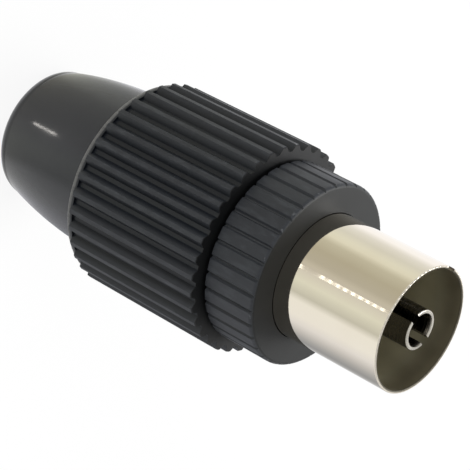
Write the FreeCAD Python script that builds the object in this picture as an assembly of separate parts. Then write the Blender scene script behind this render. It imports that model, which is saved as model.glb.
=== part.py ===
import FreeCAD, Part
import math
import os

# Line socket for a television aerial cable, in millimetres.
# It stands on its cable end: the axis is +Z, z = 0 is the cap's end face, and the mouth is at the top.
# The crest of one rib of the cap lies on +X, where the sleeve's strap is. The sleeve's seam is on -X.

# Lengths along the axis, from the cable end to the mouth
DOME_LENGTH = 11.1
LAND_LENGTH = 0.6
GRIP_LENGTH = 12.85
SHOULDER_GAP = 0.35
RING_LENGTH = 4.6
SLEEVE_STANDOUT = 9.7

# Rear cap: its radii follow from the thread's bore, which follows from the sleeve
GRIP_WALL = 1.1
RIB_COUNT = 36
RIB_DEPTH = 0.5
RIB_CREST_ANGLE = 2.4
RIB_FLOOR_ANGLE = 2.4
GRIP_EDGE = 0.08
LAND_STEP = 0.28
LAND_ROUND = 0.27
SHOULDER_WIDTH = 1.58
DOME_MID_DROP = 0.22
DOME_END_DROP = 1.16
DOME_END_ROUND = 1.2
CABLE_HOLE_R = 3.2
CABLE_HOLE_CHAMFER = 0.3
END_WALL = 2.2
DOME_WALL = 1.2
LEDGE_WIDTH = 0.9
CAVITY_TAPER = 1.7
THREAD_BORE_DEPTH = 5.95

# Front body
RING_STEP = 0.9
RING_EDGE_ROUND = 0.3
GROOVE_COUNT = 36
GROOVE_DEPTH = 0.2
GROOVE_MOUTH_ANGLE = 2.8
GROOVE_FLOOR_ANGLE = 0.6
GROOVE_TURN = 7.15
TAIL_WALL = 1.35
TAIL_GAP = 0.45
TAIL_CHAMFER = 0.4

# Outer sleeve, one rolled and folded sheet
MOUTH_R = 4.8
SHEET = 0.25
RIM_ROUND = 0.08
SEAM_GAP = 0.2
SEAM_CORNER = 0.35
SLEEVE_CLEARANCE = 0.05
LUG_CLEARANCE = 0.5
LUG_ANGLE = 50.0
LUG_PLACES = (105.0, 255.0)
SEAT_GAP = 0.02
STRAP_ANGLE = 56.0
STRAP_STRAIGHT = 5.0
STRAP_JOG = 2.4
STRAP_BEND = 0.4
CRIMP_INNER_R = 3.3
CRIMP_WIDTH = 4.2
CRIMP_NECK = 1.6
CRIMP_ANGLE = 236.0

# Insulator
INSULATOR_RECESS = 8.6
INSULATOR_THICKNESS = 5.0
INSULATOR_CLEARANCE = 0.02
BOSS_HEIGHT = 0.8
BOSS_MARGIN = 0.3

# Centre contact
PIN_BORE_R = 1.25
CONTACT_WALL = 0.35
CONTACT_ROUND = 0.08
PIN_BORE_DEPTH = 8.3
LEAD_IN = 0.1
LEAD_IN_DEPTH = 0.35
SLOT_WIDTH = 0.7
SLOT_DEPTH = 6.5
SLOT_TURN = 67.0
TERMINAL_R = 2.4
TERMINAL_LENGTH = 11.0
WIRE_HOLE_R = 0.7
WIRE_HOLE_DEPTH = 5.5

# Core screw
SCREW_R = 1.2
SCREW_FROM_END = 3.0
SCREW_CLEARANCE = 0.03
SCREW_TIP_GAP = 0.05
SCREW_HEAD_R = 1.9
SCREW_HEAD_HEIGHT = 1.2
SCREW_HEAD_STANDOFF = 0.1
DRIVER_SLOT_WIDTH = 0.45
DRIVER_SLOT_DEPTH = 0.55

# Heights that follow from the lengths
LAND_TOP_Z = DOME_LENGTH + LAND_LENGTH
CAP_FRONT_Z = LAND_TOP_Z + GRIP_LENGTH
RING_REAR_Z = CAP_FRONT_Z + SHOULDER_GAP
FACE_Z = RING_REAR_Z + RING_LENGTH
MOUTH_Z = FACE_Z + SLEEVE_STANDOUT
LEDGE_Z = CAP_FRONT_Z - THREAD_BORE_DEPTH
LUG_Z = LEDGE_Z + SEAT_GAP
TAIL_REAR_Z = LUG_Z + SHEET + SEAT_GAP
INSULATOR_FRONT_Z = MOUTH_Z - INSULATOR_RECESS
INSULATOR_REAR_Z = INSULATOR_FRONT_Z - INSULATOR_THICKNESS
TERMINAL_END_Z = INSULATOR_REAR_Z - BOSS_HEIGHT - TERMINAL_LENGTH
SCREW_Z = TERMINAL_END_Z + SCREW_FROM_END

# Radii that follow from the sleeve, from the inside out
SLEEVE_R = MOUTH_R + SHEET
TAIL_BORE_R = SLEEVE_R + SLEEVE_CLEARANCE
TAIL_R = TAIL_BORE_R + TAIL_WALL
RING_R = TAIL_R + RING_STEP
THREAD_BORE_R = TAIL_R + TAIL_GAP
CAVITY_R = THREAD_BORE_R - LEDGE_WIDTH
LUG_R = THREAD_BORE_R - LUG_CLEARANCE
GRIP_FLOOR_R = THREAD_BORE_R + GRIP_WALL
GRIP_CREST_R = GRIP_FLOOR_R + RIB_DEPTH
LAND_R = GRIP_CREST_R - LAND_STEP
DOME_BASE_R = LAND_R - SHOULDER_WIDTH
DOME_MID_R = DOME_BASE_R - DOME_MID_DROP
DOME_END_R = DOME_BASE_R - DOME_END_DROP
CONTACT_R = PIN_BORE_R + CONTACT_WALL
BOSS_R = TERMINAL_R + BOSS_MARGIN

# How far a cutting shape reaches past what it cuts
OVERCUT = 1.0

AXIS_START = FreeCAD.Vector(0, 0, 0)
UP = FreeCAD.Vector(0, 0, 1)
TO_SEAM = FreeCAD.Vector(-1, 0, 0)


def point(radius, height, angle=0.0):
    """The point at this radius and height, turned about the axis by an angle in degrees."""
    turn = math.radians(angle)
    return FreeCAD.Vector(radius * math.cos(turn), radius * math.sin(turn), height)


def line(start, end):
    return Part.LineSegment(start, end).toShape()


def arc(start, middle, end):
    return Part.Arc(start, middle, end).toShape()


def rounded_corner(before, corner, after, rounding):
    """The start, middle and end of the arc that rounds a corner between two other points of an outline."""
    back = (before - corner).normalize()
    ahead = (after - corner).normalize()
    half = back.getAngle(ahead) / 2
    reach = rounding / math.tan(half)
    inward = (back + ahead).normalize()
    middle = corner + inward * (rounding / math.sin(half) - rounding)
    return [corner + back * reach, middle, corner + ahead * reach]


def turned(edges, first_angle=0.0, swept_angle=360.0):
    """The closed outline, drawn in the XZ plane, turned about the axis."""
    face = Part.Face(Part.Wire(edges))
    solid = face.revolve(AXIS_START, UP, swept_angle)
    solid.rotate(AXIS_START, UP, first_angle)
    return solid


def turned_polygon(corners, first_angle=0.0, swept_angle=360.0):
    """An outline of (radius, height) corners turned about the axis. A third number rounds its corner."""
    points = [point(*corner[:2]) for corner in corners]
    stops = []
    for number, corner in enumerate(corners):
        if len(corner) == 3:
            after = points[(number + 1) % len(points)]
            stops.append(rounded_corner(points[number - 1], points[number], after, corner[2]))
        else:
            stops.append([points[number]])
    edges = []
    for stop, following in zip(stops, stops[1:] + stops[:1]):
        if len(stop) == 3:
            edges.append(arc(*stop))
        edges.append(line(stop[-1], following[0]))
    return turned(edges, first_angle, swept_angle)


def ring_sector(inner_r, outer_r, low, high, middle_angle=0.0, swept_angle=360.0):
    corners = [(inner_r, low), (outer_r, low), (outer_r, high), (inner_r, high)]
    return turned_polygon(corners, middle_angle - swept_angle / 2, swept_angle)


def toothed_prism(count, crest_r, floor_r, crest_angle, floor_angle, turn, low, high):
    """A prism whose outline has round crests and floors joined by straight flanks."""
    pitch = 360.0 / count
    edges = []
    for number in range(count):
        middle = turn + number * pitch
        crest = [point(crest_r, low, middle + side * crest_angle / 2) for side in (-1, 0, 1)]
        floor = [point(floor_r, low, middle + (pitch + side * floor_angle) / 2) for side in (-1, 0, 1)]
        next_crest = point(crest_r, low, middle + pitch - crest_angle / 2)
        edges.append(arc(*crest))
        edges.append(line(crest[2], floor[0]))
        edges.append(arc(*floor))
        edges.append(line(floor[2], next_crest))
    outline = Part.Face(Part.Wire(edges))
    return outline.extrude(UP * (high - low))


def dome():
    """The smooth rear of the cap: a bulged taper whose end edge is rounded."""
    flat_r = DOME_END_R - DOME_END_ROUND
    round_middle = DOME_END_ROUND * math.sqrt(0.5)
    corner = [
        point(flat_r, 0),
        point(flat_r + round_middle, DOME_END_ROUND - round_middle),
        point(DOME_END_R, DOME_END_ROUND),
    ]
    side_middle = point(DOME_MID_R, (DOME_END_ROUND + DOME_LENGTH) / 2)
    side_end = point(DOME_BASE_R, DOME_LENGTH)
    edges = [
        line(point(0, 0), corner[0]),
        arc(*corner),
        arc(corner[2], side_middle, side_end),
        line(side_end, point(0, DOME_LENGTH)),
        line(point(0, DOME_LENGTH), point(0, 0)),
    ]
    return turned(edges)


def land():
    """The smooth rim where the ribs end, with a rounded rear edge."""
    return turned_polygon([
        (0, DOME_LENGTH),
        (LAND_R, DOME_LENGTH, LAND_ROUND),
        (LAND_R, LAND_TOP_Z),
        (0, LAND_TOP_Z),
    ])


def ribbed_grip():
    """The ribbed barrel, with a small chamfer on the front ends of its ribs."""
    ribs = toothed_prism(
        RIB_COUNT, GRIP_CREST_R, GRIP_FLOOR_R, RIB_CREST_ANGLE, RIB_FLOOR_ANGLE, 0.0,
        LAND_TOP_Z, CAP_FRONT_Z,
    )
    envelope = turned_polygon([
        (0, LAND_TOP_Z),
        (GRIP_CREST_R + OVERCUT, LAND_TOP_Z),
        (GRIP_CREST_R + OVERCUT, CAP_FRONT_Z - GRIP_EDGE - OVERCUT),
        (GRIP_CREST_R - GRIP_EDGE, CAP_FRONT_Z),
        (0, CAP_FRONT_Z),
    ])
    return ribs.common(envelope)


def cap_hollow():
    """The cable hole, the tapered hollow of the dome, the chassis space, the ledge and the thread's bore."""
    dome_inner_low = (DOME_END_R + DOME_MID_R) / 2 - DOME_WALL
    dome_inner_high = DOME_BASE_R - DOME_WALL
    return turned_polygon([
        (0, -OVERCUT),
        (CABLE_HOLE_R + CABLE_HOLE_CHAMFER + OVERCUT, -OVERCUT),
        (CABLE_HOLE_R, CABLE_HOLE_CHAMFER),
        (CABLE_HOLE_R, END_WALL),
        (dome_inner_low, END_WALL),
        (dome_inner_high, DOME_LENGTH),
        (CAVITY_R, DOME_LENGTH + CAVITY_TAPER),
        (CAVITY_R, LEDGE_Z),
        (THREAD_BORE_R, LEDGE_Z),
        (THREAD_BORE_R, CAP_FRONT_Z + OVERCUT),
        (0, CAP_FRONT_Z + OVERCUT),
    ])


def rear_cap():
    return dome().fuse([land(), ribbed_grip()]).cut(cap_hollow())


def grooved_ring():
    """The ring in front of the cap, with narrow grooves and a rounded front edge."""
    lands = toothed_prism(
        GROOVE_COUNT, RING_R, RING_R - GROOVE_DEPTH, 360.0 / GROOVE_COUNT - GROOVE_MOUTH_ANGLE,
        GROOVE_FLOOR_ANGLE, GROOVE_TURN + 180.0 / GROOVE_COUNT, RING_REAR_Z, FACE_Z,
    )
    envelope = turned_polygon([
        (0, RING_REAR_Z),
        (RING_R, RING_REAR_Z),
        (RING_R, FACE_Z, RING_EDGE_ROUND),
        (0, FACE_Z),
    ])
    return lands.common(envelope)


def front_body():
    """The grooved ring and the tail behind it, which the cap screws on, bored for the sleeve."""
    tail = turned_polygon([
        (0, TAIL_REAR_Z),
        (TAIL_R - TAIL_CHAMFER, TAIL_REAR_Z),
        (TAIL_R, TAIL_REAR_Z + TAIL_CHAMFER),
        (TAIL_R, RING_REAR_Z),
        (0, RING_REAR_Z),
    ])
    bore_length = FACE_Z - TAIL_REAR_Z + 2 * OVERCUT
    bore = Part.makeCylinder(TAIL_BORE_R, bore_length, point(0, TAIL_REAR_Z - OVERCUT))
    return grooved_ring().fuse(tail).cut(bore)


def sleeve_tube():
    """The rolled tube with its rounded rim, open along its butt seam, whose corners are cut at the mouth."""
    tube = turned_polygon([
        (MOUTH_R, LUG_Z),
        (SLEEVE_R, LUG_Z),
        (SLEEVE_R, MOUTH_Z, RIM_ROUND),
        (MOUTH_R, MOUTH_Z, RIM_ROUND),
    ])
    far_side = -SLEEVE_R - OVERCUT
    half_gap = SEAM_GAP / 2
    top = MOUTH_Z + OVERCUT
    half_top = half_gap + SEAM_CORNER + OVERCUT
    corners = [
        FreeCAD.Vector(far_side, -half_gap, LUG_Z - OVERCUT),
        FreeCAD.Vector(far_side, half_gap, LUG_Z - OVERCUT),
        FreeCAD.Vector(far_side, half_gap, MOUTH_Z - SEAM_CORNER),
        FreeCAD.Vector(far_side, half_top, top),
        FreeCAD.Vector(far_side, -half_top, top),
        FreeCAD.Vector(far_side, -half_gap, MOUTH_Z - SEAM_CORNER),
    ]
    seam = Part.Face(Part.makePolygon(corners + corners[:1])).extrude(FreeCAD.Vector(-far_side, 0, 0))
    return tube.cut(seam)


def sleeve_strap():
    """The strip of the same sheet that runs back from the tube and steps in to the cable."""
    straight_end = LUG_Z - STRAP_STRAIGHT
    jog_end = straight_end - STRAP_JOG
    strap_end = jog_end - CRIMP_NECK - CRIMP_WIDTH
    crimp_outer_r = CRIMP_INNER_R + SHEET
    outline = [
        (MOUTH_R, LUG_Z + SHEET),
        (MOUTH_R, straight_end, STRAP_BEND),
        (CRIMP_INNER_R, jog_end, STRAP_BEND + SHEET),
        (CRIMP_INNER_R, strap_end),
        (crimp_outer_r, strap_end),
        (crimp_outer_r, jog_end, STRAP_BEND),
        (SLEEVE_R, straight_end, STRAP_BEND + SHEET),
        (SLEEVE_R, LUG_Z + SHEET),
    ]
    strap = turned_polygon(outline, -STRAP_ANGLE / 2, STRAP_ANGLE)
    ears = ring_sector(
        CRIMP_INNER_R, crimp_outer_r, strap_end, strap_end + CRIMP_WIDTH, 0.0, CRIMP_ANGLE,
    )
    return strap.fuse(ears)


def outer_sleeve():
    """The tube, the strap, and the lugs that the tail and the cap's ledge hold between them."""
    lugs = [
        ring_sector(MOUTH_R, LUG_R, LUG_Z, LUG_Z + SHEET, place, LUG_ANGLE)
        for place in LUG_PLACES
    ]
    return sleeve_tube().fuse(lugs + [sleeve_strap()])


def insulator():
    """The disc that fills the sleeve, with a raised boss round the contact on its rear face."""
    disc_r = MOUTH_R - INSULATOR_CLEARANCE
    hole_r = CONTACT_R + INSULATOR_CLEARANCE
    return turned_polygon([
        (hole_r, INSULATOR_REAR_Z - BOSS_HEIGHT),
        (BOSS_R, INSULATOR_REAR_Z - BOSS_HEIGHT),
        (BOSS_R, INSULATOR_REAR_Z),
        (disc_r, INSULATOR_REAR_Z),
        (disc_r, INSULATOR_FRONT_Z),
        (hole_r, INSULATOR_FRONT_Z),
    ])


def contact_slots():
    """The saw cut that splits the front of the contact into two springs."""
    across = 2 * (CONTACT_R + OVERCUT)
    corner = FreeCAD.Vector(-across / 2, -SLOT_WIDTH / 2, MOUTH_Z - SLOT_DEPTH)
    slot = Part.makeBox(across, SLOT_WIDTH, SLOT_DEPTH + OVERCUT, corner)
    slot.rotate(AXIS_START, UP, SLOT_TURN)
    return slot


def centre_contact():
    """A turned piece: the split tube in front, and the terminal with its wire and screw holes behind."""
    terminal_top = INSULATOR_REAR_Z - BOSS_HEIGHT
    blank = turned_polygon([
        (0, TERMINAL_END_Z),
        (TERMINAL_R, TERMINAL_END_Z),
        (TERMINAL_R, terminal_top),
        (CONTACT_R, terminal_top),
        (CONTACT_R, MOUTH_Z, CONTACT_ROUND),
        (0, MOUTH_Z),
    ])
    pin_bore = turned_polygon([
        (0, MOUTH_Z - PIN_BORE_DEPTH),
        (PIN_BORE_R, MOUTH_Z - PIN_BORE_DEPTH),
        (PIN_BORE_R, MOUTH_Z - LEAD_IN_DEPTH),
        (PIN_BORE_R + LEAD_IN, MOUTH_Z),
        (PIN_BORE_R + LEAD_IN, MOUTH_Z + OVERCUT),
        (0, MOUTH_Z + OVERCUT),
    ])
    wire_length = WIRE_HOLE_DEPTH + OVERCUT
    wire_hole = Part.makeCylinder(WIRE_HOLE_R, wire_length, point(0, TERMINAL_END_Z - OVERCUT))
    tapped_r = SCREW_R + SCREW_CLEARANCE
    tapped_hole = Part.makeCylinder(tapped_r, TERMINAL_R + OVERCUT, point(0, SCREW_Z), TO_SEAM)
    return blank.cut([pin_bore, contact_slots(), wire_hole, tapped_hole])


def core_screw():
    """The slotted screw, pointing at the axis from -X, its tip just clear of the wire hole."""
    tip = WIRE_HOLE_R + SCREW_TIP_GAP
    head_under = TERMINAL_R + SCREW_HEAD_STANDOFF
    shank = Part.makeCylinder(SCREW_R, head_under - tip, FreeCAD.Vector(-tip, 0, SCREW_Z), TO_SEAM)
    head_start = FreeCAD.Vector(-head_under, 0, SCREW_Z)
    head = Part.makeCylinder(SCREW_HEAD_R, SCREW_HEAD_HEIGHT, head_start, TO_SEAM)
    slot_half = SCREW_HEAD_R + OVERCUT
    slot_outside = -head_under - SCREW_HEAD_HEIGHT - OVERCUT
    slot_corner = FreeCAD.Vector(slot_outside, -DRIVER_SLOT_WIDTH / 2, SCREW_Z - slot_half)
    slot = Part.makeBox(DRIVER_SLOT_DEPTH + OVERCUT, DRIVER_SLOT_WIDTH, 2 * slot_half, slot_corner)
    return shank.fuse(head).cut(slot)


def main():
    os.makedirs("parts", exist_ok=True)
    pieces = {
        "rear_cap": rear_cap(),
        "front_body": front_body(),
        "outer_sleeve": outer_sleeve(),
        "insulator": insulator(),
        "centre_contact": centre_contact(),
        "core_screw": core_screw(),
    }
    for node, shape in pieces.items():
        solid = shape.removeSplitter()
        solid.exportStep(f"parts/{node}.step")
        print(node, solid.isValid(), len(solid.Solids), round(solid.Volume, 2))


main()
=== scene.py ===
import math
from collections import namedtuple

import bmesh
import bpy
from mathutils import Matrix, Vector


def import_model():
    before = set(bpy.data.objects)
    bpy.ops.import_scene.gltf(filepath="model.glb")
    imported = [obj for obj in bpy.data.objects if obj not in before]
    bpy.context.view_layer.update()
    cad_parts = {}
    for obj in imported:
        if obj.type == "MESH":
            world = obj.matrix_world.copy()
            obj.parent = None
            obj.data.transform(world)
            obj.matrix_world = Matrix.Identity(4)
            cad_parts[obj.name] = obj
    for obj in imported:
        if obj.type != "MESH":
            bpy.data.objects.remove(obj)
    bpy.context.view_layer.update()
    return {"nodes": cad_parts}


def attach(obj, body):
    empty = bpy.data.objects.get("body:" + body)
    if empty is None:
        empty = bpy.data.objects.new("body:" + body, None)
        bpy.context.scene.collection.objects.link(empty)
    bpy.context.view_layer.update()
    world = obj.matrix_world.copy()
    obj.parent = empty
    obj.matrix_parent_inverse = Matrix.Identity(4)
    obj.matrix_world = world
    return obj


# Looks of a television coaxial line socket, in the frame of the CAD model: it stands on its cable end, the
# axis is +Z, and the mouth is at the top. Sizes on the object are in millimetres, the set round it in metres.

MM = 0.001
FULL_TURN = 360.0
WHITE = (1.0, 1.0, 1.0)

# How the materials are given. A pair of colours is the darker and the lighter one of a cloudy surface. A
# texture is the scale of its noise per metre, its detail and its roughness. A band, in which one surface
# gives way to the next, is a pair of offsets in millimetres from the edge that the code names. A spread holds
# most of the values of a noise, and the whole of a mask runs from 0 to 1.
WHOLE = (0.0, 1.0)
WIDE_SPREAD = (0.3, 0.7)
SPREAD = (0.35, 0.65)

# The two ribbed mouldings, with the sizes of the CAD model: where the ribs begin, above a smooth part in the
# cap and at once in the ring, the front face, the radii of the crests and of the floors between them, and the
# painted tones of those floors and of the face: painted shade on the cap's floors and on both faces, and
# painted light that lifts the ring's floors
Moulding = namedtuple("Moulding", "ribs_z face_z crest_r floor_r floor_black face_black")
CAP = Moulding(
    ribs_z=11.1,
    face_z=24.55,
    crest_r=8.5,
    floor_r=8.0,
    # Painted shade darkens the cap's groove floors
    floor_black=(0.0055, 0.0075, 0.0112),
    # Painted shade on the cap's front face, sheltered in the gap before the ring
    face_black=(0.0035, 0.004, 0.0045),
)
RING = Moulding(
    ribs_z=0.0,
    face_z=29.5,
    crest_r=7.35,
    floor_r=7.15,
    # Painted light lifts the ring's groove floors above the black of the ribs
    floor_black=(0.034, 0.037, 0.041),
    # Painted shade darkens the ring's upward front face
    face_black=(0.009, 0.010, 0.010),
)

# Black plastic of both mouldings
PLASTIC_IOR = 1.42
RIB_BLACKS = ((0.015, 0.0175, 0.0225), (0.023, 0.0255, 0.0305))
SMOOTH_BLACKS = ((0.025, 0.0268, 0.031), (0.035, 0.0368, 0.041))
WORN_BLACK = (0.034, 0.038, 0.0445)
KNOCKED_GREY = (0.11, 0.115, 0.12)
SMOOTH_ROUGHNESS = 0.15
RIB_ROUGHNESS = 0.46
CLOUD_ROUGHNESS = (-0.03, 0.04)
FACE_EXTRA_ROUGHNESS = 0.06
PLASTIC_CLOUD = (260.0, 4.0, 0.5)
PLASTIC_CLOUD_HEIGHT = 0.02
PLASTIC_CLOUD_STRENGTH = 0.6
PLASTIC_GRAIN = (9000.0, 2.0, 0.5)
PLASTIC_GRAIN_HEIGHT = 0.0012
PLASTIC_GRAIN_STRENGTH = 0.8
SCUFF = (2600.0, 5.0, 0.65)
SCUFF_STRETCH = (1.0, 1.0, 0.25)
SCUFF_SHOWS = (0.45, 0.75)
KNOCKS = (1900.0, 4.0, 0.6)
KNOCKS_SHOW = (0.60, 0.68)
CREST_BAND = (-0.25, 0.0)
KNOCK_DEPTH_BAND = (-0.35, -0.1)
KNOCK_RADIUS_BAND = (-0.4, -0.2)
FLOOR_START_BAND = (-0.15, -0.05)
FLOOR_MARGIN = 0.02
CREST_MARGIN = 0.05
RIBS_START_BAND = (0.0, 0.2)
FACE_BAND = (-0.07, -0.01)

# The cap's rear rim, with a pale painted highlight
LAND_R = 8.22
RIM_HIGHLIGHT_GREY = (0.115, 0.115, 0.112)
RIM_HIGHLIGHT_SCUFF = (0.3, 0.6)
RIM_HIGHLIGHT_SHARE = (0.6, 1.0)
LAND_REAR_BAND = (-0.05, 0.02)
LAND_FRONT_BAND = (0.30, 0.50)
LAND_SIDE_BAND = (-0.35, -0.1)

# Insulator
INSULATOR_BLACKS = ((0.008, 0.008, 0.010), (0.016, 0.016, 0.018))
INSULATOR_ROUGHNESS = 0.55
INSULATOR_CLOUD = (900.0, 4.0, 0.5)
INSULATOR_GRAIN = (7000.0, 3.0, 0.5)
INSULATOR_GRAIN_HEIGHT = 0.002

# Plated sheet of the sleeve: the plating shows from a radius outwards, and the seam's corners are cut at the
# mouth
MOUTH_Z = 39.2
PLATED_FROM_R = 4.92
PLATED_BAND = (-0.02, 0.02)
PLATED_TONES = ((0.80, 0.735, 0.625), (0.83, 0.775, 0.665))
SHEARED_TONE = (0.10, 0.08, 0.06)
SEAM_HALF_GAP = 0.1
SEAM_CORNER = 0.35
SEAM_BAND = (0.03, 0.06)
SEAM_SIDE_BAND = (-4.4, -4.3)
# Painted shade inside the tube near the mouth; the paler olive tones lie farther in
MOUTH_SHADE_TONES = ((0.115, 0.10, 0.065), (0.21, 0.185, 0.12))
DEEP_TONES = ((0.52, 0.485, 0.33), (0.74, 0.69, 0.50))
MOUTH_SHADE_BAND = (-3.7, -0.5)
INNER_RIM_TONE = (0.09, 0.08, 0.055)
INNER_RIM_BAND = (-0.16, -0.10)
SHEET_METALLIC = (0.5, 1.0)
POLISH = (0.03, 0.05)
TARNISH = (0.38, 0.52)
CUT_EDGE_BAND = (-0.10, -0.06)
CUT_EDGE_ROUGHNESS = (0.0, 0.25)
SHEET_CLOUD = (420.0, 4.0, 0.5)
DRAWN_LINES = (5200.0, 3.0, 0.5)
DRAWN_LINES_STRETCH = (1.0, 1.0, 0.06)
DRAWN_LINES_HEIGHT = 0.00015
RIPPLE = (1300.0, 1.0, 0.5)
RIPPLE_HEIGHT = 0.0006

# Centre contact, plated, bright on its end, with painted shade that makes it dark on its sides and in its
# bore
CONTACT_BORE_R = 1.3
CONTACT_BORE_BAND = (-0.04, 0.04)
CONTACT_END_BAND = (-0.12, -0.06)
CONTACT_TONES = ((0.60, 0.57, 0.50), (0.66, 0.63, 0.56))
# Painted shade on the contact's sides and in its bore
CONTACT_SIDE_SHADE = (0.12, 0.11, 0.095)
CONTACT_CLOUD = (900.0, 3.0, 0.5)
TURNING_RINGS = (9000.0, 2.0, 0.5)
TURNING_RINGS_STRETCH = (0.05, 0.05, 1.0)
TURNING_RINGS_HEIGHT = 0.0006
CONTACT_ROUGHNESS = (0.18, 0.32)

# Core screw
SCREW_TONES = ((0.62, 0.61, 0.58), (0.74, 0.73, 0.69))
SCREW_ROUGHNESS = (0.22, 0.36)
SCREW_CLOUD = (1200.0, 4.0, 0.5)
SCREW_GRAIN = (6000.0, 3.0, 0.5)
SCREW_GRAIN_HEIGHT = 0.002

# Thread between the cap and the front body, on the plain tail and in the plain bore of the CAD model
TAIL_R = 6.45
TAIL_LOW_Z = 19.4
TAIL_HIGH_Z = 24.8
THREAD_BORE_R = 6.9
BORE_LOW_Z = 18.8
BORE_HIGH_Z = 24.2
THREAD_PITCH = 1.25
THREAD_CLEARANCE = 0.05
THREAD_FOOT = 0.03
THREAD_ROOT_WIDTH = 0.62
THREAD_CREST_WIDTH = 0.22
STEPS_PER_TURN = 96
THREAD_FADE_STEPS = STEPS_PER_TURN // 3

# The camera that took the photograph, found from the outlines of the round parts. Its place, lens and sensor
# are in millimetres, and the distances between which it sees are in metres.
CAMERA_PLACE = (-4.40, -140.78, 115.6)
CAMERA_RIGHT = (-0.45412, 0.50631, 0.7331)
CAMERA_BACK = (-0.02727, -0.83034, 0.5566)
CAMERA_LENS = 170.6
CAMERA_SENSOR = 36.0
CLIP_NEAR = 0.005
CLIP_FAR = 20.0

# Floor, of which the camera and reflections see a share as plain white
FLOOR_HALF = 3.0
FLOOR_MATTE = (0.9, 0.9, 0.9)
FLOOR_GLOW_SHARE = 0.90

# Boards laid round the object for its polished parts to reflect: where each tone stands, as an azimuth in
# degrees, and its linear colour. The tones run into each other.
BOARDS = (
    (0.0, (0.90, 0.90, 0.94)),
    (18.0, (0.64, 0.64, 0.67)),
    (30.0, (0.49, 0.50, 0.53)),
    (46.0, (0.36, 0.37, 0.40)),
    (58.0, (0.43, 0.44, 0.46)),
    (68.0, (0.59, 0.59, 0.61)),
    (78.0, (0.75, 0.75, 0.77)),
    (90.0, (0.83, 0.83, 0.85)),
    (110.0, (1.09, 1.09, 1.12)),
    (140.0, (1.15, 1.15, 1.20)),
    (158.0, (0.90, 0.90, 0.88)),
    (175.0, (0.80, 0.80, 0.74)),
    (190.0, (0.88, 0.88, 0.77)),
    (198.0, (0.87, 0.86, 0.74)),
    (210.0, (0.63, 0.61, 0.50)),
    (230.0, (0.53, 0.50, 0.40)),
    (250.0, (0.55, 0.52, 0.44)),
    (259.0, (0.65, 0.62, 0.54)),
    (264.0, (0.65, 0.62, 0.56)),
    (272.0, (0.78, 0.76, 0.70)),
    (288.0, (0.86, 0.87, 0.77)),
    (308.0, (0.66, 0.66, 0.60)),
    (320.0, (1.00, 1.00, 0.98)),
    (345.0, (1.00, 1.00, 1.00)),
)
BOARD_INNER = 0.0058
BOARD_OUTER = 0.6
BOARD_Z = 0.00005
BOARD_STEPS = 96

# Small flat lamps on the boards, on the camera's side: a bar close to the dome with a brighter outer tip, and
# farther out a row, of one lamp by itself and then nine in equal steps. A reach is a distance from the axis.
SMALL_LAMP_COLOUR = (1.0, 0.96, 0.90)
SMALL_LAMP_Z = 0.0001
BAR_AZIMUTH = 266.6
BAR_REACH = (0.0079, 0.0104)
TIP_REACH = (0.0104, 0.0113)
BAR_WIDTH = 0.0003
BAR_LEVEL = 14.0
TIP_LEVEL = 32.0
ROW_AZIMUTH = 267.4
ROW_FIRST = 0.0538
ROW_START = 0.0587
ROW_STEP = 0.00171
ROW_COUNT = 9
ROW_LENGTH = 0.0006
ROW_WIDTH = 0.0060
ROW_LEVEL = 2.6

# The sky's level by the sine of its elevation, as light and as seen in reflections
SKY_LIGHT = ((0.0, 1.0), (0.3, 0.75), (1.0, 0.45))
SKY_MIRRORED = ((0.0, 1.0), (0.30, 0.90), (0.45, 0.50), (0.70, 0.50), (0.90, 0.80))

# The two large lamps: place, diameter and power in watts, both aimed at the middle of the object
LAMP_AIM = (0.0, 0.0, 0.02)
KEY_PLACE = (-0.129, 0.224, 0.369)
KEY_SIZE = 0.24
KEY_WATTS = 1.3
FILL_PLACE = (-0.236, -0.377, 0.119)
FILL_SIZE = 0.20
FILL_WATTS = 0.65


def principled(name, metallic=0.0, roughness=0.5):
    """A new material with its node tree and its shader."""
    material = bpy.data.materials.new(name)
    material.use_nodes = True
    tree = material.node_tree
    shader = tree.nodes["Principled BSDF"]
    shader.inputs["Metallic"].default_value = metallic
    shader.inputs["Roughness"].default_value = roughness
    return material, tree, shader


def bare_material(name):
    """A new material with an otherwise empty node tree, and the socket that takes its surface."""
    material = bpy.data.materials.new(name)
    material.use_nodes = True
    tree = material.node_tree
    tree.nodes.clear()
    output = tree.nodes.new("ShaderNodeOutputMaterial")
    return material, tree, output.inputs["Surface"]


def node(tree, kind, **inputs):
    """A new node with values on the inputs that are named."""
    made = tree.nodes.new(kind)
    for name, value in inputs.items():
        made.inputs[name].default_value = value
    return made


def opaque(colour):
    """A colour with full alpha, as sockets and ramps take it."""
    return (*colour, 1.0)


def math_node(tree, operation, *values):
    """The result of an operation on sockets and numbers."""
    made = tree.nodes.new("ShaderNodeMath")
    made.operation = operation
    for socket, value in zip(made.inputs, values):
        if isinstance(value, (int, float)):
            socket.default_value = value
        else:
            tree.links.new(value, socket)
    return made.outputs[0]


def product(tree, first, *others):
    """Masks multiplied by each other, or by a number."""
    for other in others:
        first = math_node(tree, "MULTIPLY", first, other)
    return first


def object_place(tree):
    """The surface point in the object's own frame."""
    return tree.nodes.new("ShaderNodeTexCoord").outputs["Object"]


def axes_of(tree, place):
    """The x, y and z of a point."""
    split = tree.nodes.new("ShaderNodeSeparateXYZ")
    tree.links.new(place, split.inputs[0])
    return tuple(split.outputs)


def radius_of(tree, x, y):
    """The distance from the axis."""
    squares = math_node(tree, "ADD", product(tree, x, x), product(tree, y, y))
    return math_node(tree, "SQRT", squares)


def map_range(tree, value, span, target):
    """Runs smoothly through a target pair while a value runs through a span."""
    made = tree.nodes.new("ShaderNodeMapRange")
    made.interpolation_type = "SMOOTHSTEP"
    tree.links.new(value, made.inputs["Value"])
    names = ("From Min", "From Max", "To Min", "To Max")
    for name, number in zip(names, (*span, *target)):
        made.inputs[name].default_value = number
    return made.outputs[0]


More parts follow.
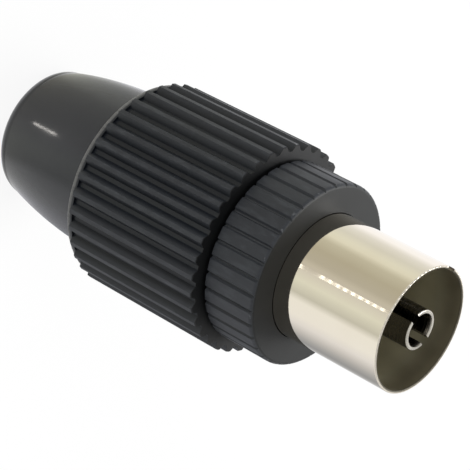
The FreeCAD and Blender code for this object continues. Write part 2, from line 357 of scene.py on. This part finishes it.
def rise(tree, value, span):
    """A mask that is 0 before a span and 1 past it."""
    return map_range(tree, value, span, WHOLE)


def fall(tree, value, span):
    """A mask that is 1 before a span and 0 past it."""
    return map_range(tree, value, span, (1.0, 0.0))


def near(edge, band):
    """The span, in metres, of a band of offsets from an edge, both in millimetres."""
    return tuple((edge + offset) * MM for offset in band)


def noise(tree, place, texture):
    """The values of a noise texture at a place."""
    scale, detail, roughness = texture
    made = node(tree, "ShaderNodeTexNoise", Scale=scale, Detail=detail, Roughness=roughness)
    tree.links.new(place, made.inputs["Vector"])
    return made.outputs["Fac"]


def stretched(tree, place, scale):
    """The place scaled along each axis, for textures that run one way."""
    made = node(tree, "ShaderNodeMapping", Scale=scale)
    tree.links.new(place, made.inputs["Vector"])
    return made.outputs[0]


def mix_colour(tree, factor, first, second):
    """A mix of two colours, each a socket or a tuple."""
    made = tree.nodes.new("ShaderNodeMix")
    made.data_type = "RGBA"
    tree.links.new(factor, made.inputs["Factor"])
    colours = [socket for socket in made.inputs if socket.type == "RGBA"]
    for socket, value in zip(colours, (first, second)):
        if isinstance(value, tuple):
            socket.default_value = opaque(value)
        else:
            tree.links.new(value, socket)
    return [socket for socket in made.outputs if socket.type == "RGBA"][0]


def mix_number(tree, factor, first, second):
    """A mix of two number sockets."""
    made = tree.nodes.new("ShaderNodeMix")
    for name, value in (("Factor", factor), ("A", first), ("B", second)):
        tree.links.new(value, made.inputs[name])
    return made.outputs[0]


def mix_shaders(tree, factor, first, second):
    """A node that goes from one shader node to another with a factor."""
    made = tree.nodes.new("ShaderNodeMixShader")
    for socket, value in zip(made.inputs, (factor, first.outputs[0], second.outputs[0])):
        tree.links.new(value, socket)
    return made


def colour_ramp(tree, share, stops):
    """The colour at a share from 0 to 1 of a ramp through stops, each a share and its colour."""
    made = tree.nodes.new("ShaderNodeValToRGB")
    tree.links.new(share, made.inputs[0])
    elements = made.color_ramp.elements
    ready = len(elements)
    for number, (place, colour) in enumerate(stops):
        element = elements[number] if number < ready else elements.new(place)
        element.position = place
        element.color = opaque(colour)
    return made.outputs[0]


def bump(tree, height, depth, strength=1.0, before=None):
    """A surface normal from a height texture, its depth in millimetres, on top of another normal if given."""
    made = node(tree, "ShaderNodeBump", Distance=depth * MM, Strength=strength)
    tree.links.new(height, made.inputs["Height"])
    if before is not None:
        tree.links.new(before, made.inputs["Normal"])
    return made.outputs[0]


def knocked_edge(tree, place, radius, z, moulding):
    """Small pale knocks along the front ends of the crests."""
    depth = rise(tree, z, near(moulding.face_z, KNOCK_DEPTH_BAND))
    rim = rise(tree, radius, near(moulding.crest_r, KNOCK_RADIUS_BAND))
    knocks = rise(tree, noise(tree, place, KNOCKS), KNOCKS_SHOW)
    return product(tree, depth, rim, knocks)


def groove_floors(tree, radius, moulding):
    """One on the floors between the crests."""
    above = rise(tree, radius, near(moulding.floor_r, FLOOR_START_BAND))
    foot = moulding.floor_r + FLOOR_MARGIN
    top = moulding.crest_r - CREST_MARGIN
    return product(tree, above, fall(tree, radius, (foot * MM, top * MM)))


def rim_highlight_mask(tree, radius, z, scuff):
    """How strongly the pale painted highlight lies on the rear rim of the cap, where the dome meets the ribs.
    """
    low = rise(tree, z, near(CAP.ribs_z, LAND_REAR_BAND))
    high = fall(tree, z, near(CAP.ribs_z, LAND_FRONT_BAND))
    outer = rise(tree, radius, near(LAND_R, LAND_SIDE_BAND))
    return product(tree, low, high, outer, map_range(tree, scuff, RIM_HIGHLIGHT_SCUFF, RIM_HIGHLIGHT_SHARE))


def black_plastic(name, moulding, with_rim_highlight=False):
    """Black moulding: satin where smooth, duller and scuffed on its ribs, knocked along its front edge, with
    painted shade on its front face, a painted tone on its groove floors, and on the cap a painted highlight
    along its rear rim.
    """
    material, tree, shader = principled(name)
    shader.inputs["IOR"].default_value = PLASTIC_IOR
    place = object_place(tree)
    x, y, z = axes_of(tree, place)
    radius = radius_of(tree, x, y)
    cloud = noise(tree, place, PLASTIC_CLOUD)
    scuff = noise(tree, stretched(tree, place, SCUFF_STRETCH), SCUFF)
    ribbed = rise(tree, z, near(moulding.ribs_z, RIBS_START_BAND))
    face = rise(tree, z, near(moulding.face_z, FACE_BAND))

    crest = rise(tree, radius, near(moulding.crest_r, CREST_BAND))
    worn = product(tree, crest, rise(tree, scuff, SCUFF_SHOWS))
    colour = mix_colour(tree, worn, mix_colour(tree, cloud, *RIB_BLACKS), WORN_BLACK)
    colour = mix_colour(tree, knocked_edge(tree, place, radius, z, moulding), colour, KNOCKED_GREY)
    # Painted tone on the groove floors: painted shade in the cap, painted light in the ring
    colour = mix_colour(tree, groove_floors(tree, radius, moulding), colour, moulding.floor_black)
    colour = mix_colour(tree, ribbed, mix_colour(tree, cloud, *SMOOTH_BLACKS), colour)
    # Painted highlight: a pale band along the cap's rear rim
    if with_rim_highlight:
        colour = mix_colour(tree, rim_highlight_mask(tree, radius, z, scuff), colour, RIM_HIGHLIGHT_GREY)
    # Painted shade on the front face
    colour = mix_colour(tree, face, colour, moulding.face_black)
    tree.links.new(colour, shader.inputs["Base Color"])

    roughness = map_range(tree, ribbed, WHOLE, (SMOOTH_ROUGHNESS, RIB_ROUGHNESS))
    roughness = math_node(tree, "ADD", roughness, map_range(tree, cloud, WIDE_SPREAD, CLOUD_ROUGHNESS))
    roughness = math_node(tree, "ADD", roughness, product(tree, face, FACE_EXTRA_ROUGHNESS))
    tree.links.new(roughness, shader.inputs["Roughness"])

    grain = noise(tree, place, PLASTIC_GRAIN)
    soft = bump(tree, cloud, PLASTIC_CLOUD_HEIGHT, PLASTIC_CLOUD_STRENGTH)
    relief = bump(tree, grain, PLASTIC_GRAIN_HEIGHT, PLASTIC_GRAIN_STRENGTH, soft)
    tree.links.new(relief, shader.inputs["Normal"])
    return material


def insulator_plastic():
    """Matte black moulding."""
    material, tree, shader = principled("insulator_black", roughness=INSULATOR_ROUGHNESS)
    place = object_place(tree)
    cloud = noise(tree, place, INSULATOR_CLOUD)
    grain = noise(tree, place, INSULATOR_GRAIN)
    tree.links.new(mix_colour(tree, cloud, *INSULATOR_BLACKS), shader.inputs["Base Color"])
    tree.links.new(bump(tree, grain, INSULATOR_GRAIN_HEIGHT), shader.inputs["Normal"])
    return material


def sheared_edge(tree, x, y, z):
    """One on the bare ends of the rolled sheet: along the seam and on its cut corners at the mouth."""
    side = math_node(tree, "ABSOLUTE", y)
    above_cut = math_node(tree, "SUBTRACT", z, (MOUTH_Z - SEAM_CORNER) * MM)
    widening = math_node(tree, "MAXIMUM", above_cut, 0.0)
    past = math_node(tree, "SUBTRACT", math_node(tree, "SUBTRACT", side, widening), SEAM_HALF_GAP * MM)
    on_seam_side = fall(tree, x, near(0.0, SEAM_SIDE_BAND))
    return product(tree, fall(tree, past, near(0.0, SEAM_BAND)), on_seam_side)


def sheet_colour(tree, outside, cloud, x, y, z):
    """Plated outside with a bare seam; inside, darker towards the mouth as painted shade, paler farther in,
    and darkest at the rim.
    """
    plated = mix_colour(tree, cloud, *PLATED_TONES)
    bright = mix_colour(tree, sheared_edge(tree, x, y, z), plated, SHEARED_TONE)
    # Painted shade: the inside of the tube darkens towards the mouth
    mouth_shade = mix_colour(tree, cloud, *MOUTH_SHADE_TONES)
    deep = mix_colour(tree, cloud, *DEEP_TONES)
    dull = mix_colour(tree, rise(tree, z, near(MOUTH_Z, MOUTH_SHADE_BAND)), deep, mouth_shade)
    rim = rise(tree, z, near(MOUTH_Z, INNER_RIM_BAND))
    unplated = mix_colour(tree, rim, dull, INNER_RIM_TONE)
    return mix_colour(tree, outside, unplated, bright)


def nickel_sheet():
    """Plated sheet: bright and faintly uneven outside, dull and tarnished olive inside the tube."""
    material, tree, shader = principled("nickel_sheet", metallic=1.0)
    place = object_place(tree)
    x, y, z = axes_of(tree, place)
    outside = rise(tree, radius_of(tree, x, y), near(PLATED_FROM_R, PLATED_BAND))
    cloud = noise(tree, place, SHEET_CLOUD)
    lines = noise(tree, stretched(tree, place, DRAWN_LINES_STRETCH), DRAWN_LINES)
    tree.links.new(sheet_colour(tree, outside, cloud, x, y, z), shader.inputs["Base Color"])
    tree.links.new(map_range(tree, outside, WHOLE, SHEET_METALLIC), shader.inputs["Metallic"])

    polish = map_range(tree, lines, SPREAD, POLISH)
    cut_edge = map_range(tree, z, near(MOUTH_Z, CUT_EDGE_BAND), CUT_EDGE_ROUGHNESS)
    polish = math_node(tree, "ADD", polish, cut_edge)
    tarnish = map_range(tree, cloud, SPREAD, TARNISH)
    tree.links.new(mix_number(tree, outside, tarnish, polish), shader.inputs["Roughness"])

    uneven = bump(tree, noise(tree, place, RIPPLE), RIPPLE_HEIGHT)
    relief = bump(tree, lines, DRAWN_LINES_HEIGHT, before=uneven)
    tree.links.new(relief, shader.inputs["Normal"])
    return material


def nickel_contact():
    """Turned and plated tube: fine turning rings, its plated colour on the end, painted shade on its sides
    and in its bore.
    """
    material, tree, shader = principled("nickel_contact", metallic=1.0)
    place = object_place(tree)
    x, y, z = axes_of(tree, place)
    outside_bore = rise(tree, radius_of(tree, x, y), near(CONTACT_BORE_R, CONTACT_BORE_BAND))
    end_face_mask = product(tree, outside_bore, rise(tree, z, near(MOUTH_Z, CONTACT_END_BAND)))
    bright = mix_colour(tree, noise(tree, place, CONTACT_CLOUD), *CONTACT_TONES)
    # Painted shade on the sides and in the bore; the plated colour on the end
    tree.links.new(mix_colour(tree, end_face_mask, CONTACT_SIDE_SHADE, bright), shader.inputs["Base Color"])
    rings = noise(tree, stretched(tree, place, TURNING_RINGS_STRETCH), TURNING_RINGS)
    tree.links.new(map_range(tree, rings, SPREAD, CONTACT_ROUGHNESS), shader.inputs["Roughness"])
    tree.links.new(bump(tree, rings, TURNING_RINGS_HEIGHT), shader.inputs["Normal"])
    return material


def plated_screw():
    """Plated steel with a soft, cloudy shine."""
    material, tree, shader = principled("plated_screw", metallic=1.0)
    place = object_place(tree)
    cloud = noise(tree, place, SCREW_CLOUD)
    grain = noise(tree, place, SCREW_GRAIN)
    tree.links.new(mix_colour(tree, cloud, *SCREW_TONES), shader.inputs["Base Color"])
    tree.links.new(map_range(tree, cloud, WIDE_SPREAD, SCREW_ROUGHNESS), shader.inputs["Roughness"])
    tree.links.new(bump(tree, grain, SCREW_GRAIN_HEIGHT), shader.inputs["Normal"])
    return material


def dress(piece, material):
    """Gives a CAD node its material in every slot that it has."""
    if not piece.data.materials:
        piece.data.materials.append(material)
    for number in range(len(piece.data.materials)):
        piece.data.materials[number] = material


def new_object(name, data):
    """A new object in the scene."""
    made = bpy.data.objects.new(name, data)
    bpy.context.scene.collection.objects.link(made)
    return made


def ridge_section(root_r, tip_r, middle_z):
    """The four corners across a thread's ridge, each a radius and a height."""
    return [
        (root_r, middle_z - THREAD_ROOT_WIDTH / 2),
        (tip_r, middle_z - THREAD_CREST_WIDTH / 2),
        (tip_r, middle_z + THREAD_CREST_WIDTH / 2),
        (root_r, middle_z + THREAD_ROOT_WIDTH / 2),
    ]


def helix_ridge(name, material, root_r, crest_r, low_z, high_z, phase):
    """A right-hand thread's ridge from a root radius to a crest radius, fading in and out at its ends."""
    turns = (high_z - low_z - THREAD_ROOT_WIDTH) / THREAD_PITCH
    steps = int(turns * STEPS_PER_TURN)
    start_z = low_z + THREAD_ROOT_WIDTH / 2
    shape = bmesh.new()
    sections = []
    for step in range(steps + 1):
        share = min(1.0, (step + 1) / THREAD_FADE_STEPS, (steps + 1 - step) / THREAD_FADE_STEPS)
        tip_r = root_r + (crest_r - root_r) * share
        turn = 2 * math.pi * step / STEPS_PER_TURN + phase
        middle_z = start_z + THREAD_PITCH * step / STEPS_PER_TURN
        sections.append([
            shape.verts.new((radius * math.cos(turn) * MM, radius * math.sin(turn) * MM, height * MM))
            for radius, height in ridge_section(root_r, tip_r, middle_z)
        ])
    for one, other in zip(sections, sections[1:]):
        for number in range(len(one)):
            following = (number + 1) % len(one)
            shape.faces.new((one[number], one[following], other[following], other[number]))
    shape.faces.new(reversed(sections[0]))
    shape.faces.new(sections[-1])
    bmesh.ops.recalc_face_normals(shape, faces=shape.faces)
    mesh = bpy.data.meshes.new(name)
    shape.to_mesh(mesh)
    shape.free()
    mesh.materials.append(material)
    return new_object(name, mesh)


def threads(cap_material, front_material):
    """The outside thread on the front body's tail and the inside thread in the cap, half a pitch apart."""
    outside = helix_ridge(
        "tail_thread", front_material,
        TAIL_R - THREAD_FOOT, THREAD_BORE_R - THREAD_CLEARANCE, TAIL_LOW_Z, TAIL_HIGH_Z, 0.0,
    )
    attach(outside, "front_body")
    offset = TAIL_LOW_Z - BORE_LOW_Z
    phase = math.pi - 2 * math.pi * offset / THREAD_PITCH
    inside = helix_ridge(
        "cap_thread", cap_material,
        THREAD_BORE_R + THREAD_FOOT, TAIL_R + THREAD_CLEARANCE, BORE_LOW_Z, BORE_HIGH_Z, phase,
    )
    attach(inside, "rear_cap")


def make_camera():
    """The camera of the photograph."""
    data = bpy.data.cameras.new("camera")
    data.sensor_width = CAMERA_SENSOR
    data.lens = CAMERA_LENS
    data.clip_start = CLIP_NEAR
    data.clip_end = CLIP_FAR
    camera = new_object("camera", data)
    right = Vector(CAMERA_RIGHT).normalized()
    back = Vector(CAMERA_BACK).normalized()
    up = back.cross(right).normalized()
    right = up.cross(back)
    turn = Matrix((right, up, back)).transposed()
    camera.matrix_world = Matrix.Translation(Vector(CAMERA_PLACE) * MM) @ turn.to_4x4()
    bpy.context.scene.camera = camera


def flat_piece(name, corners, faces, material):
    """A flat piece of the set from its corners and faces."""
    mesh = bpy.data.meshes.new(name)
    mesh.from_pydata(corners, [], faces)
    mesh.materials.append(material)
    return new_object(name, mesh)


def only_mirrored(piece):
    """Makes a stage piece show in reflections and nowhere else."""
    for kind in ("camera", "diffuse", "transmission", "volume_scatter", "shadow"):
        setattr(piece, "visible_" + kind, False)


def make_floor():
    """A white floor that shows pale to the camera and keeps the object's soft shadow."""
    material, tree, surface = bare_material("floor_white")
    matte = node(tree, "ShaderNodeBsdfDiffuse", Color=opaque(FLOOR_MATTE))
    glow = node(tree, "ShaderNodeEmission", Color=opaque(WHITE), Strength=1.0)
    rays = tree.nodes.new("ShaderNodeLightPath")
    seen = math_node(tree, "MAXIMUM", rays.outputs["Is Camera Ray"], rays.outputs["Is Glossy Ray"])
    mixed = mix_shaders(tree, product(tree, seen, FLOOR_GLOW_SHARE), matte, glow)
    tree.links.new(mixed.outputs[0], surface)
    corners = [(x * FLOOR_HALF, y * FLOOR_HALF, 0.0) for x, y in ((-1, -1), (1, -1), (1, 1), (-1, 1))]
    floor = flat_piece("floor", corners, [(0, 1, 2, 3)], material)


def boards_material():
    """A glow whose colour runs round the axis through the tones of the boards."""
    material, tree, surface = bare_material("boards")
    x, y, _ = axes_of(tree, object_place(tree))
    turn = math_node(tree, "ARCTAN2", y, x)
    share = math_node(tree, "FRACT", math_node(tree, "DIVIDE", turn, 2 * math.pi))
    stops = [(azimuth / FULL_TURN, colour) for azimuth, colour in BOARDS]
    _, first_colour = BOARDS[0]
    glow = tree.nodes.new("ShaderNodeEmission")
    tree.links.new(colour_ramp(tree, share, stops + [(1.0, first_colour)]), glow.inputs["Color"])
    tree.links.new(glow.outputs[0], surface)
    return material


def make_boards():
    """Boards laid round the object, seen only in reflections, so that polished metal has them to show."""
    corners = []
    for radius in (BOARD_INNER, BOARD_OUTER):
        for step in range(BOARD_STEPS):
            turn = 2 * math.pi * step / BOARD_STEPS
            corners.append((radius * math.cos(turn), radius * math.sin(turn), BOARD_Z))
    faces = []
    for step in range(BOARD_STEPS):
        following = (step + 1) % BOARD_STEPS
        faces.append((step, BOARD_STEPS + step, BOARD_STEPS + following, following))
    only_mirrored(flat_piece("boards", corners, faces, boards_material()))


def flat_lamps(name, azimuth, spans, width, level):
    """Flat glowing strips on the boards, one for each span of distances from the axis."""
    turn = math.radians(azimuth)
    out = Vector((math.cos(turn), math.sin(turn), 0))
    across = Vector((-out.y, out.x, 0))
    corners = []
    faces = []
    for inner, outer in spans:
        first = len(corners)
        faces.append((first, first + 1, first + 2, first + 3))
        for reach, side in ((inner, -1), (outer, -1), (outer, 1), (inner, 1)):
            place = out * reach + across * (side * width / 2)
            corners.append((place.x, place.y, SMALL_LAMP_Z))
    material, tree, surface = bare_material(name)
    glow = node(tree, "ShaderNodeEmission", Color=opaque(SMALL_LAMP_COLOUR), Strength=level)
    tree.links.new(glow.outputs[0], surface)
    only_mirrored(flat_piece(name, corners, faces, material))


def small_lamps():
    """The lamps that put a short bright line on the dome and a dotted one on the sleeve."""
    flat_lamps("bar_lamp", BAR_AZIMUTH, [BAR_REACH], BAR_WIDTH, BAR_LEVEL)
    flat_lamps("bar_tip", BAR_AZIMUTH, [TIP_REACH], BAR_WIDTH, TIP_LEVEL)
    starts = [ROW_FIRST] + [ROW_START + number * ROW_STEP for number in range(ROW_COUNT)]
    row = [(start, start + ROW_LENGTH) for start in starts]
    flat_lamps("lamp_row", ROW_AZIMUTH, row, ROW_WIDTH, ROW_LEVEL)


def sky(tree, height, levels):
    """A white sky whose strength runs through levels, from the horizon up to the zenith."""
    stops = [(share, (level, level, level)) for share, level in levels]
    made = tree.nodes.new("ShaderNodeBackground")
    tree.links.new(colour_ramp(tree, height, stops), made.inputs["Color"])
    return made


def make_world():
    """White to the camera; as light and in reflections it is brightest at the horizon and lower overhead."""
    world = bpy.data.worlds.new("studio")
    bpy.context.scene.world = world
    world.use_nodes = True
    tree = world.node_tree
    tree.nodes.clear()
    output = tree.nodes.new("ShaderNodeOutputWorld")
    _, _, height = axes_of(tree, tree.nodes.new("ShaderNodeTexCoord").outputs["Generated"])
    white = node(tree, "ShaderNodeBackground", Color=opaque(WHITE), Strength=1.0)
    rays = tree.nodes.new("ShaderNodeLightPath")
    seen = math_node(tree, "MAXIMUM", rays.outputs["Is Camera Ray"], rays.outputs["Is Transmission Ray"])
    light = sky(tree, height, SKY_LIGHT)
    mirrored = sky(tree, height, SKY_MIRRORED)
    unseen = mix_shaders(tree, rays.outputs["Is Glossy Ray"], light, mirrored)
    mixed = mix_shaders(tree, seen, unseen, white)
    tree.links.new(mixed.outputs[0], output.inputs["Surface"])


def area_lamp(name, place, size, watts, in_gloss=True):
    """A round lamp aimed at the object, with or without its own image in glossy surfaces."""
    data = bpy.data.lights.new(name, "AREA")
    data.shape = "DISK"
    data.size = size
    data.energy = watts
    lamp = new_object(name, data)
    lamp.visible_glossy = in_gloss
    lamp.location = place
    lamp.rotation_mode = "QUATERNION"
    lamp.rotation_quaternion = (Vector(LAMP_AIM) - Vector(place)).to_track_quat("-Z", "Y")


def dress_object(nodes):
    """Gives every CAD node its material and adds the thread between the two mouldings."""
    cap_black = black_plastic("cap_black", CAP, with_rim_highlight=True)
    front_black = black_plastic("front_black", RING)
    dress(nodes["rear_cap"], cap_black)
    dress(nodes["front_body"], front_black)
    dress(nodes["outer_sleeve"], nickel_sheet())
    dress(nodes["insulator"], insulator_plastic())
    dress(nodes["centre_contact"], nickel_contact())
    dress(nodes["core_screw"], plated_screw())
    threads(cap_black, front_black)


def make_set():
    """The camera, and all that stands or shines round the object."""
    make_camera()
    make_floor()
    make_boards()
    small_lamps()
    make_world()
    area_lamp("key", KEY_PLACE, KEY_SIZE, KEY_WATTS)
    area_lamp("fill", FILL_PLACE, FILL_SIZE, FILL_WATTS, in_gloss=False)
    bpy.context.scene.view_settings.view_transform = "Standard"


def main():
    """Dresses the object and sets the scene round it."""
    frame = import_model()
    dress_object(frame["nodes"])
    make_set()


main()
